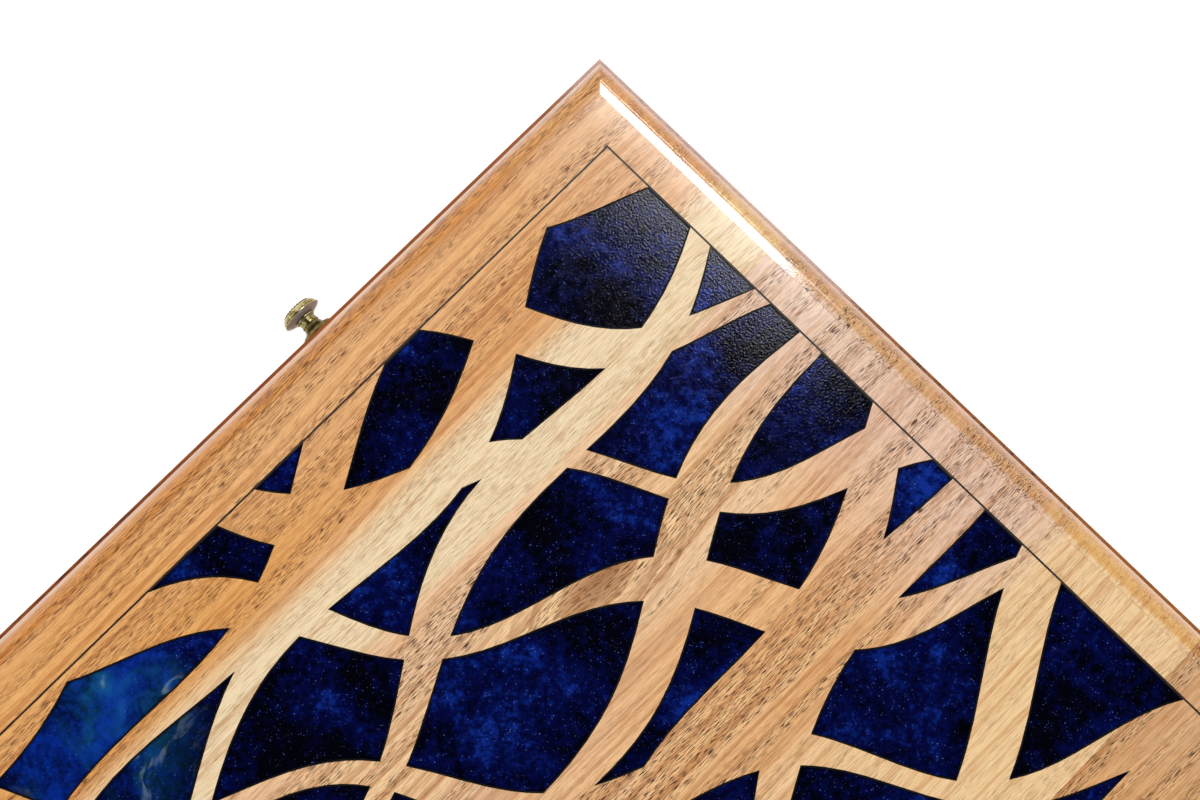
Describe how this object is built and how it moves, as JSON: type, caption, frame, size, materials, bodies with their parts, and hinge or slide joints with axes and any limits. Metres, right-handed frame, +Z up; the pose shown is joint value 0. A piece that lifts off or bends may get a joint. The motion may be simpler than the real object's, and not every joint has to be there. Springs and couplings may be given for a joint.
{
  "type": "folding backgammon board",
  "caption": "Folding wooden backgammon case with inlaid blue resin cells in the lid, brass knobs and hinges, and points inlaid on the inside.",
  "frame": {"origin": "centre of the underside, on the plane that the closed case rests on", "axes": "+X right along the long side, -Y to the front with the knobs, +Y to the hinges, +Z up"},
  "size_m": [0.6, 0.316, 0.07],
  "materials": {
    "panel_wood": "oiled walnut, satin",
    "wall_wood": "oiled walnut, satin",
    "field_wood": "oiled walnut, satin",
    "light_wood": "pale inlaid wood, satin",
    "blue_resin": "deep blue glitter resin, semi-gloss",
    "dark_line": "dark filler",
    "brass": "satin",
    "knob_brass": "antique, darkened in the hollows",
    "magnet_nickel": "nickel plated"
  },
  "bodies": {
    "base": {"base_front_board": "panel_wood", "base_middle_board": "panel_wood", "base_back_board": "panel_wood", "base_border_line": "dark_line", "base_front_wall": "wall_wood", "base_back_wall": "wall_wood", "base_left_wall": "wall_wood", "base_right_wall": "wall_wood", "base_playing_field": "field_wood", "base_points_blue": "blue_resin", "base_points_light": "light_wood", "base_hinge_leaf_left": "brass", "base_hinge_leaf_right": "brass", "base_hinge_screws": "brass", "base_magnets": "magnet_nickel", "hinge_pin_left": "brass", "hinge_pin_right": "brass"},
    "lid": {"lid_front_board": "panel_wood", "lid_middle_board": "panel_wood", "lid_back_board": "panel_wood", "lid_resin_cells": "blue_resin", "lid_border_line": "dark_line", "lid_front_wall": "wall_wood", "lid_back_wall": "wall_wood", "lid_left_wall": "wall_wood", "lid_right_wall": "wall_wood", "lid_playing_field": "field_wood", "lid_points_blue": "blue_resin", "lid_points_light": "light_wood", "lid_hinge_leaf_left": "brass", "lid_hinge_leaf_right": "brass", "lid_hinge_screws": "brass", "lid_magnets": "magnet_nickel", "knob_left": "knob_brass", "knob_right": "knob_brass", "knob_screws": "brass"}
  },
  "joints": [
    {"name": "lid_hinge", "type": "hinge", "parent": "base", "child": "lid", "pos_m": [0, 0.1505, 0.035], "axis": [-1, 0, 0], "range_deg": [0, 180]}
  ]
}
